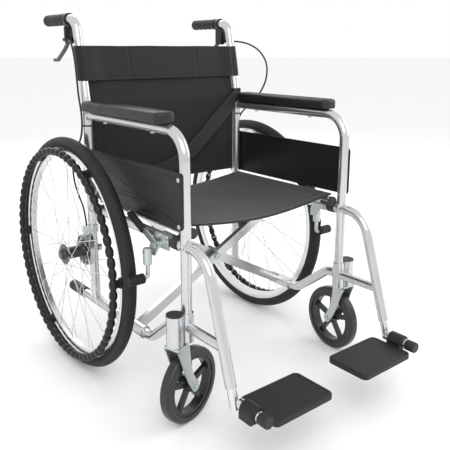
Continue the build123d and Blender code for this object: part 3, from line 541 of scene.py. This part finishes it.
def panel_point(u, v):
    """The lower panel, a little slack, with a sewn hem beside each upright."""
    x = back_edge * u
    z = 0.607 + 0.142 * v
    y = back_lean(z) + 0.0035 * (1 - u * u)
    y += ridge(abs(x), 0.209, 0.0016, 0.0012) + ridge(abs(x), 0.216, 0.0016, 0.0008)
    y += ridge(z, 0.485, 0.0016, 0.0010)
    y += 0.0018 * noise.noise(Vector((x * 7, 3, z * 5))) * (1 - u * u)
    return Vector((x, y, z))


def band_point(u, v):
    """The upper band, drawn from the front of one upright to the other over the panel."""
    x = back_edge * u
    z = 0.793 + 0.0435 * v + 0.0012 * noise.noise(Vector((x * 11, 5, v))) * (1 - u * u)
    reach = min(1, (1 - abs(u)) * 4.5)
    y = back_lean(z) - 0.0125 + 0.0085 * reach * reach * (3 - 2 * reach)
    y += ridge(abs(x), 0.112, 0.0017, 0.0016)
    y += ridge(z, 0.756, 0.0014, 0.0007) + ridge(z, 0.829, 0.0014, 0.0007)
    y += 0.0016 * noise.noise(Vector((x * 6, 9, z * 9))) * (1 - u * u)
    return Vector((x, y, z))


back_panel = cloth("back_panel", 170, 90, panel_point, 0.0022, sling_fabric, None, "sling_fabric")
back_band = cloth("back_band", 170, 60, band_point, 0.0026, sling_fabric, None, "sling_fabric", "back_sling")
for piece, flat in ((back_panel, (0.473, 0.284)), (back_band, (0.476, 0.088))):
    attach(piece, "right_frame")
    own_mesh(piece)

for side, sign in sides:
    sleeve_r = 0.0136

    def sleeve_point(u, v):
        """One turn of the band round the upright, and the flap that joins it to the middle."""
        z = 0.793 + 0.0435 * v
        middle_y = back_lean(z)
        around = (u + 1) / 2
        flap = 0.16
        if around < flap:
            x = back_edge + (frame_x - back_edge) * around / flap
            y = middle_y - 0.0125 - (sleeve_r - 0.0125) * around / flap
        else:
            turn = (around - flap) / (1 - flap) * radians(255)
            x = frame_x + sleeve_r * sin(turn)
            y = middle_y - sleeve_r * cos(turn)
        y += ridge(z, 0.756, 0.0014, 0.0005) + ridge(z, 0.829, 0.0014, 0.0005)
        return Vector((sign * x, y, z))

    sleeve = cloth(
        f"{side}_back_sleeve", 60, 40, sleeve_point, 0.0022, sling_fabric, f"{side}_frame", "sling_fabric"
    )

# ------------------------------------------------------------------ lap belt
# Black seat-belt webbing, looped round the left upright above the armrest. It crosses the back
# to the right upright at seat height, and its ribbed weave has a plain selvedge each side.
belt_webbing = finish("belt_webbing", (0.0175, 0.0160, 0.0160), 0.62, specular=0.35)
weave(belt_webbing, 26, 0.0003, crease=0.0004)
belt_way = [
    Vector((0.250, 0, 0.695)), Vector((0.060, 0, 0.524)), Vector((-0.040, 0, 0.487)),
    Vector((-0.2365, 0, 0.478)),
]
belt_half = 0.020


def belt_point(u, v):
    """A point on the strap: v runs along it and u across."""
    t = (v + 1) / 2
    mid_a = belt_way[0].lerp(belt_way[1], 0.72)
    mid_b = belt_way[1].lerp(belt_way[2], 0.5)
    mid_c = belt_way[2].lerp(belt_way[3], 0.28)
    if t < 0.42:
        here, ahead = belt_way[0].lerp(mid_a, t / 0.42), mid_a - belt_way[0]
    elif t < 0.6:
        s = (t - 0.42) / 0.18
        here = mid_a.lerp(belt_way[1], s).lerp(belt_way[1].lerp(mid_b, s), s)
        ahead = (belt_way[1] - mid_a).lerp(mid_b - belt_way[1], s)
    elif t < 0.7:
        s = (t - 0.6) / 0.1
        here = mid_b.lerp(belt_way[2], s).lerp(belt_way[2].lerp(mid_c, s), s)
        ahead = (belt_way[2] - mid_b).lerp(mid_c - belt_way[2], s)
    else:
        here, ahead = mid_c.lerp(belt_way[3], (t - 0.7) / 0.3), belt_way[3] - mid_c
    ahead = ahead.normalized()
    across = Vector((ahead.z, 0, -ahead.x))
    point = here + across * belt_half * u
    slack = sin(pi * t)
    point.y = -0.0133 + 0.0040 * slack + 0.0012 * noise.noise(Vector((t * 5, u * 0.7, 2))) * slack
    return point


belt = cloth("belt", 16, 140, belt_point, 0.0016, belt_webbing, None, "belt_webbing", "lap_belt")
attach(belt, "right_frame")
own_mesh(belt)
belt_loop = bmesh.new()
turned(
    belt_loop,
    [(-0.0175, 0.0126), (-0.0175, 0.0142), (0.0175, 0.0142), (0.0175, 0.0126)],
    (frame_x, 0.0004, 0.6950), (0, 0, 1), steps=60, closed=True,
)
belt_black = finish("belt_loop_webbing", (0.0120, 0.0120, 0.0120), 0.62, specular=0.35)
grain(belt_black, 0.0013, 0.0002, patch=0.02, tint=0.2, stretch=(1, 1, 0.3))
make_piece("belt_loop", belt_loop, belt_black, "left_frame", "belt_webbing")

# ------------------------------------------------------------------ rear tyres
# Solid grey-black rubber tyres pressed into the rims. The tread is three ribs between shallow
# grooves, crossed by fine cuts, and a raised line runs round each sidewall.
tyre_rubber = finish("tyre_rubber", (0.0140, 0.0140, 0.0145), 0.62, specular=0.35)
axle_z, wheel_x = 0.305, 0.309


def cuts_round_axle(material, count, depth):
    """Fine radial cuts round the rear axle, on top of the material's own grain."""
    nodes, links = material.node_tree.nodes, material.node_tree.links
    shader = nodes["Principled BSDF"]
    place = nodes.new("ShaderNodeTexCoord")
    parts = nodes.new("ShaderNodeSeparateXYZ")
    links.new(place.outputs["Object"], parts.inputs["Vector"])
    height = nodes.new("ShaderNodeMath")
    height.operation = "SUBTRACT"
    height.inputs[1].default_value = axle_z
    links.new(parts.outputs["Z"], height.inputs[0])
    angle = nodes.new("ShaderNodeMath")
    angle.operation = "ARCTAN2"
    links.new(parts.outputs["Y"], angle.inputs[0])
    links.new(height.outputs[0], angle.inputs[1])
    turns = nodes.new("ShaderNodeMath")
    turns.operation = "MULTIPLY"
    turns.inputs[1].default_value = count
    links.new(angle.outputs[0], turns.inputs[0])
    wave = nodes.new("ShaderNodeMath")
    wave.operation = "SINE"
    links.new(turns.outputs[0], wave.inputs[0])
    edge = nodes.new("ShaderNodeMapRange")
    edge.inputs["From Min"].default_value = -0.95
    edge.inputs["From Max"].default_value = -0.6
    links.new(wave.outputs[0], edge.inputs["Value"])
    relief = nodes.new("ShaderNodeBump")
    relief.inputs["Distance"].default_value = depth
    relief.inputs["Strength"].default_value = 0.7
    links.new(edge.outputs["Result"], relief.inputs["Height"])
    links.new(shader.inputs["Normal"].links[0].from_socket, relief.inputs["Normal"])
    links.new(relief.outputs["Normal"], shader.inputs["Normal"])


grain(tyre_rubber, 0.0018, 0.00012, patch=0.05, tint=0.18)
cuts_round_axle(tyre_rubber, 150, 0.0006)
half_section = [
    (0.0000, 0.3050), (0.0026, 0.3049), (0.0030, 0.3037), (0.0040, 0.3036), (0.0044, 0.3045),
    (0.0078, 0.3033), (0.0082, 0.3020), (0.0092, 0.3014), (0.0096, 0.3022), (0.0124, 0.2998),
    (0.0148, 0.2965), (0.0162, 0.2935), (0.0172, 0.2926), (0.0173, 0.2912), (0.0166, 0.2903),
    (0.0168, 0.2860), (0.0160, 0.2825), (0.0140, 0.2800), (0.0118, 0.2794), (0.0100, 0.2788),
    (0.0100, 0.2710),
]
tyre_section = [(-a, r) for a, r in reversed(half_section[1:])] + half_section
for side, sign in sides:
    tyre = bmesh.new()
    turned(tyre, tyre_section, (wheel_x, 0, axle_z), (1, 0, 0), steps=160, closed=True)
    to_side(tyre, sign)
    make_piece(
        f"{side}_tyre", tyre, tyre_rubber, f"{side}_wheel", "tyre_rubber", f"{side}_wheel_tyre", sharp=50
    )

# ------------------------------------------------------------------ rear rims and spokes
# Extruded aluminium rims, satin anodised, with a deep channel for the tyre. Thirty-two crossed
# steel spokes a wheel run from the two hub flanges into the rim's inner wall.
rim_metal = finish("rim_metal", (0.74, 0.75, 0.76), 0.26, metallic=1.0)
grain(rim_metal, 0.0010, 0.000003, patch=0.05, tint=0.04, gloss=0.04, stretch=(0.3, 1, 1))
half_rim = [
    (0.0120, 0.2790), (0.0120, 0.2700), (0.0112, 0.2675), (0.0085, 0.2618), (0.0070, 0.2602), (0.0, 0.2600),
]
rim_inside = [(0.0, 0.2662), (0.0060, 0.2662), (0.0092, 0.2690), (0.0104, 0.2720), (0.0104, 0.2790)]
rim_section = half_rim + [(-a, r) for a, r in reversed(half_rim[:-1])]
rim_section += [(-a, r) for a, r in reversed(rim_inside[1:])] + rim_inside
spoke_steel = finish("spoke_steel", (0.70, 0.70, 0.70), 0.22, metallic=1.0)
grain(spoke_steel, 0.002, 0.00001, patch=0.04, tint=0.06)
for side, sign in sides:
    rim = bmesh.new()
    turned(rim, rim_section, (wheel_x, 0, axle_z), (1, 0, 0), steps=160, closed=True)
    to_side(rim, sign)
    make_piece(f"{side}_rim", rim, rim_metal, f"{side}_wheel", "rim_metal", f"{side}_wheel_rim", sharp=40)
dress(spoke_steel, "wheel_spokes", "footrest_tube")

# ------------------------------------------------------------------ hubs
# Black painted steel hubs on sealed bearings. Each has two flanges for the spokes, a waisted
# barrel, a brake drum on the inboard end and a round plastic dust cap outboard.
hub_paint = finish("hub_paint", (0.020, 0.020, 0.021), 0.36, coat=0.3)
grain(hub_paint, 0.0012, 0.00004, patch=0.03, tint=0.2)
hub_outline = [
    (0.018, 0.0066), (0.018, 0.0372), (0.0188, 0.038), (0.0292, 0.038), (0.030, 0.0372),
    (0.030, 0.0215), (0.0315, 0.0200), (0.0315, 0.0264), (0.0321, 0.0270), (0.0339, 0.0270),
    (0.0345, 0.0264), (0.0345, 0.0185), (0.0375, 0.0168), (0.045, 0.0160), (0.073, 0.0160),
    (0.0805, 0.0168), (0.0835, 0.0185), (0.0835, 0.0264), (0.0841, 0.0270), (0.0859, 0.0270),
    (0.0865, 0.0264), (0.0865, 0.0175), (0.0885, 0.0150), (0.0905, 0.0136), (0.0950, 0.0132),
    (0.0965, 0.0120), (0.0974, 0.0095), (0.0974, 0),
]
for side, sign in sides:
    hub = bmesh.new()
    turned(hub, hub_outline, (frame_x, 0, axle_z), (1, 0, 0), steps=64)
    to_side(hub, sign)
    make_piece(f"{side}_hub", hub, hub_paint, f"{side}_wheel", "hub_metal", f"{side}_wheel_hub", sharp=30)

# ------------------------------------------------------------------ hand rims
# Black plastic-coated rings that the rider turns the wheels by. The coating is moulded in short
# waves for the fingers, and six black brackets screw the ring to the rim.
rim_plastic = finish("hand_rim_plastic", (0.0080, 0.0080, 0.0085), 0.40, specular=0.35)
grain(rim_plastic, 0.0013, 0.00008, patch=0.04, tint=0.2)
ring_x, ring_r, ring_thick, waves = 0.341, 0.271, 0.010, 66


def add_to(shape, other):
    """Moves a second shape into the first."""
    loose = bpy.data.meshes.new("loose")
    other.to_mesh(loose)
    other.free()
    shape.from_mesh(loose)
    bpy.data.meshes.remove(loose)


for side, sign in sides:
    ring = bmesh.new()
    section = [(ring_thick * sin(k * pi / 7), ring_r + ring_thick * cos(k * pi / 7)) for k in range(14)]
    turned(ring, section, (ring_x, 0, axle_z), (1, 0, 0), steps=waves * 8, closed=True)
    for vert in ring.verts:
        spot = Vector((0, vert.co.y, vert.co.z - axle_z))
        turn = atan2(spot.y, spot.z)
        core = Vector((ring_x, 0, axle_z)) + spot.normalized() * ring_r
        swell = 0.60 + 0.40 * abs(sin(turn * waves / 2)) ** 0.8
        vert.co = core + (vert.co - core) * swell
    for k in range(6):
        tab = bmesh.new()
        stem_low, stem_high = (0.3195, -0.0095, ring_r - 0.0060), (0.3360, 0.0095, ring_r + 0.0030)
        foot_low, foot_high = (0.3208, -0.0130, ring_r - 0.0075), (0.3240, 0.0130, ring_r + 0.0040)
        rounded_box(tab, stem_low, stem_high, 0.002, 0.0015, 2, 2, "X")
        rounded_box(tab, foot_low, foot_high, 0.003, 0.0008, 3, 1, "X")
        bmesh.ops.translate(tab, vec=(0, 0, axle_z), verts=tab.verts)
        turn = Matrix.Rotation(radians(30 + 60 * k), 3, "X")
        bmesh.ops.rotate(tab, cent=(0, 0, axle_z), matrix=turn, verts=tab.verts)
        add_to(ring, tab)
    to_side(ring, sign)
    make_piece(
        f"{side}_hand_rim", ring, rim_plastic, f"{side}_wheel", "rim_plastic", f"{side}_handrim", sharp=45
    )

# ------------------------------------------------------------------ casters
# Zinc-plated pressed forks on sealed swivel bearings, with black moulded wheels on a through
# bolt. The tyres are a softer grey-black rubber without tread.
wheel_plastic = finish("caster_plastic", (0.010, 0.010, 0.011), 0.3)
grain(wheel_plastic, 0.0012, 0.00004, patch=0.03, tint=0.2)
caster_rubber = finish("caster_rubber", (0.0180, 0.0180, 0.0190), 0.34)
grain(caster_rubber, 0.0015, 0.00006, patch=0.03, tint=0.2)
dress(wheel_plastic, "caster_wheel")
dress(caster_rubber, "caster_tyre")
swivel_x, swivel_y, caster_axle_z, trail = 0.282, -0.430, 0.088, 0.045
arm_inside, arm_thick, arm_tip = 0.0172, 0.0036, 0.0115
fork_curve = [
    (0.004, 0.199, 0.019), (0.009, 0.185, 0.0180), (0.013, 0.167, 0.0155), (0.017, 0.150, 0.0135),
    (0.022, 0.133, 0.0122), (0.029, 0.116, 0.0115), (0.037, 0.101, 0.0113), (0.045, 0.088, 0.0115),
]
stem_outline = [(0, 0), (0, 0.0165), (0.0012, 0.0178), (0.0040, 0.0178), (0.0048, 0.0165), (0.0048, 0)]
nut_outline = [
    (0, 0), (0, 0.0068), (0.0032, 0.0068), (0.0040, 0.0058), (0.0040, 0.0034), (0.0052, 0.0030), (0.0052, 0),
]
bolt_outline = [(-arm_inside, 0), (-arm_inside, 0.0048), (arm_inside, 0.0048), (arm_inside, 0)]


def points_of(made):
    """The vertices among the parts that an operator made."""
    return [v for v in made if isinstance(v, bmesh.types.BMVert)]


def soften(shape, faces, offset):
    """Rounds all the edges of some faces."""
    bmesh.ops.bevel(
        shape, geom=list({e for f in faces for e in f.edges}), offset=offset, offset_type="OFFSET",
        affect="EDGES", segments=2, profile=0.5, material=-1,
    )


# Each fork is drawn about its swivel, then turned to the angle its caster rests at.
for side, sign, yaw in (("right", -1, -75), ("left", 1, -5)):
    fork = bmesh.new()
    for arm_side in (-1, 1):
        leading, trailing = [], []
        for here, (y, z, half) in enumerate(fork_curve):
            before = fork_curve[max(0, here - 1)]
            after = fork_curve[min(len(fork_curve) - 1, here + 1)]
            way = Vector((0, after[0] - before[0], after[1] - before[1])).normalized()
            across = Vector((0, -way.z, way.y))
            leading.append(Vector((0, y, z)) + across * half)
            trailing.append(Vector((0, y, z)) - across * half)
        tip = [
            Vector((0, trail + arm_tip * cos(radians(a)), caster_axle_z + arm_tip * sin(radians(a))))
            for a in range(15, -165, -20)
        ]
        outline = leading[:-1] + tip + trailing[-2::-1]
        inner = arm_inside * arm_side
        arm = fork.faces.new([fork.verts.new(point + Vector((inner, 0, 0))) for point in outline])
        grown = bmesh.ops.extrude_face_region(fork, geom=[arm])["geom"]
        bmesh.ops.translate(fork, vec=(arm_thick * arm_side, 0, 0), verts=points_of(grown))
    bmesh.ops.recalc_face_normals(fork, faces=fork.faces)
    soften(fork, [f for f in fork.faces if abs(f.normal.x) > 0.99], 0.0010)
    rounded_box(fork, (-0.0208, -0.0150, 0.1950), (0.0208, 0.0230, 0.2008), 0.0030, 0.0020, 3, 2)
    turned(fork, stem_outline, (0, 0, 0.1972), (0, 0, 1), steps=48)
    for end in (-1, 1):
        nut_at = (end * 0.0206, trail, caster_axle_z)
        turned(fork, nut_outline, nut_at, (end, 0, 0), steps=6 if end > 0 else 32)
    turned(fork, bolt_outline, (0, trail, caster_axle_z), (1, 0, 0), steps=24)
    bmesh.ops.rotate(fork, cent=(0, 0, 0), matrix=Matrix.Rotation(radians(yaw), 3, "Z"), verts=fork.verts)
    bmesh.ops.translate(fork, vec=(sign * swivel_x, swivel_y, 0), verts=fork.verts)
    make_piece(f"{side}_fork", fork, zinc, f"{side}_caster_fork", "zinc", f"{side}_caster_fork", sharp=30)

# ------------------------------------------------------------------ footrests
# Bright inner tubes slide in the hangers and end in a boss for the footplate's spindle. The
# plates are moulded black plastic with a raised border and a fine pebbled top.
plate_plastic = finish("plate_plastic", (0.0130, 0.0130, 0.0135), 0.5, specular=0.35)
grain(plate_plastic, 0.0022, 0.00025, patch=0.06, tint=0.14)
plate_low, plate_high = (0.052, -0.686, 0.108), (0.2225, -0.572, 0.122)
pivot_x, pivot_z, housing_r = 0.240, 0.128, 0.018
for side, sign in sides:
    plate = bmesh.new()
    rounded_box(plate, plate_low, plate_high, 0.014, 0.0028, 7, 3)
    plate.normal_update()
    tops = [f for f in plate.faces if f.normal.z > 0.999 and f.calc_area() > 0.01]
    bmesh.ops.inset_region(plate, faces=tops, thickness=0.0035, use_even_offset=True)
    bmesh.ops.inset_region(plate, faces=tops, thickness=0.0012, depth=-0.0009, use_even_offset=True)
    housing = bmesh.new()
    arch = [
        (pivot_x + housing_r * cos(a * pi / 14), pivot_z + housing_r * sin(a * pi / 14)) for a in range(15)
    ]
    profile = [(pivot_x + housing_r, 0.111), *arch, (pivot_x - housing_r, 0.111)]
    outline = housing.faces.new([housing.verts.new((x, -0.652, z)) for x, z in profile])
    body = bmesh.ops.extrude_face_region(housing, geom=[outline])["geom"]
    bmesh.ops.translate(housing, vec=(0, 0.038, 0), verts=points_of(body))
    bmesh.ops.recalc_face_normals(housing, faces=housing.faces)
    soften(housing, [f for f in housing.faces if abs(f.normal.y) > 0.99], 0.0015)
    add_to(plate, housing)
    to_side(plate, sign)
    even_normals(make_piece(
        f"{side}_plate", plate, plate_plastic, f"{side}_footplate", "plate_plastic",
        f"{side}_footplate", sharp=30,
    ))

# The spindle is bright steel with a collar, and its black knob is fluted for the fingers.
knob_plastic = finish("knob_plastic", (0.0120, 0.0120, 0.0125), 0.46)
grain(knob_plastic, 0.0012, 0.00008, patch=0.02, tint=0.2)
spindle_outline = [
    (0, 0), (0, 0.0076), (0.0004, 0.008), (0.0515, 0.008), (0.0515, 0.0115), (0.0525, 0.0120),
    (0.0590, 0.0120), (0.0600, 0.0110), (0.0600, 0),
]
knob_outline = [
    (0, 0), (0, 0.0118), (0.001, 0.0128), (0.004, 0.0130), (0.022, 0.0130), (0.025, 0.0124),
    (0.026, 0.0108), (0.0262, 0.0100), (0.0254, 0.0094), (0.0254, 0),
]
for side, sign in sides:
    spindle = bmesh.new()
    turned(spindle, spindle_outline, (pivot_x, -0.600, pivot_z), (0, -1, 0), steps=48)
    to_side(spindle, sign)
    make_piece(
        f"{side}_spindle_bar", spindle, spoke_steel, f"{side}_spindle", "spoke_steel",
        f"{side}_footplate_spindle",
    )
    knob = bmesh.new()
    turned(knob, knob_outline, (pivot_x, -0.660, pivot_z), (0, -1, 0), steps=96)
    for vert in knob.verts:
        spoke = Vector((vert.co.x - pivot_x, 0, vert.co.z - pivot_z))
        if spoke.length > 0.0120 and sin(24 * atan2(spoke.x, spoke.z)) > 0:
            vert.co -= spoke.normalized() * 0.0007
    to_side(knob, sign)
    make_piece(f"{side}_knob", knob, knob_plastic, f"{side}_spindle", "plate_plastic", sharp=50)

# ------------------------------------------------------------------ wheel locks
# Pressed steel levers in zinc plate, clamped to the side rail, that swing a rod and its shoe
# back against the tyre. A black plastic sleeve is pushed over the end of the lever.
dress(zinc, "lock_bracket", "lock_lever")
shoe_y, shoe_z = -0.3205, 0.325
rod_x, rod_top, rod_r, elbow_r = 0.278, 0.358, 0.0048, 0.008
hanger_outline = [
    (-0.0300, 0.0050), (-0.0300, 0.0092), (-0.0292, 0.0100), (0.0072, 0.0100), (0.0080, 0.0092), (0.0080, 0),
]
roller_outline = [(0, 0.0046), (0, 0.0105), (0.0012, 0.0118), (0.0388, 0.0118), (0.0400, 0.0105), (0.0400, 0)]
for side, sign in sides:
    rod = bmesh.new()
    turned(rod, hanger_outline, (rod_x, shoe_y, 0.386), (0, 0, 1), steps=40)
    section = bmesh.ops.create_circle(rod, cap_ends=False, radius=rod_r, segments=24)["verts"]
    bmesh.ops.translate(rod, vec=(rod_x, shoe_y, rod_top), verts=section)
    down = bmesh.ops.extrude_edge_only(rod, edges=list({e for v in section for e in v.link_edges}))["geom"]
    bmesh.ops.translate(rod, vec=(0, 0, shoe_z + elbow_r - rod_top), verts=points_of(down))
    bend = [g for g in down if isinstance(g, (bmesh.types.BMVert, bmesh.types.BMEdge))]
    elbow = (rod_x + elbow_r, shoe_y, shoe_z + elbow_r)
    turn = bmesh.ops.spin(
        rod, geom=bend, cent=elbow, axis=(0, -1, 0), angle=pi / 2, steps=8
    )["geom_last"]
    last = [e for e in turn if isinstance(e, bmesh.types.BMEdge)]
    reach = bmesh.ops.extrude_edge_only(rod, edges=last)["geom"]
    bmesh.ops.translate(rod, vec=(0.012, 0, 0), verts=points_of(reach))
    to_side(rod, sign)
    make_piece(f"{side}_shoe_rod", rod, zinc, f"{side}_lock_shoe", "zinc", f"{side}_lock_shoe")
    roller = bmesh.new()
    turned(roller, roller_outline, (0.290, shoe_y, shoe_z), (1, 0, 0), steps=48)
    to_side(roller, sign)
    make_piece(f"{side}_shoe_roller", roller, grip_rubber, f"{side}_lock_shoe", "grip_rubber")

lock_way = Vector((0, 0.109, 0.050)).normalized()
lock_tip = Vector((0.277, -0.246, 0.460))
lever_outline = [
    (-0.066, 0.0), (-0.066, 0.0078), (-0.0652, 0.0086), (-0.006, 0.0086), (-0.002, 0.0078),
    (0.0006, 0.0052), (0.0014, 0),
]
for side, sign in sides:
    handle = bmesh.new()
    turned(handle, lever_outline, lock_tip, lock_way, steps=40)
    to_side(handle, sign)
    make_piece(f"{side}_lock_sleeve", handle, grip_rubber, f"{side}_lock_lever", "grip_rubber")

# ------------------------------------------------------------------ brake levers
# Cast levers painted satin black, each on a pin between the cheeks of its bracket. A spring in
# the bracket opens it again when the hand lets go.
lever_paint = finish("lever_paint", (0.024, 0.024, 0.025), 0.4, coat=0.2)
grain(lever_paint, 0.0014, 0.00004, patch=0.03, tint=0.2)
dress(lever_paint, "brake_lever")
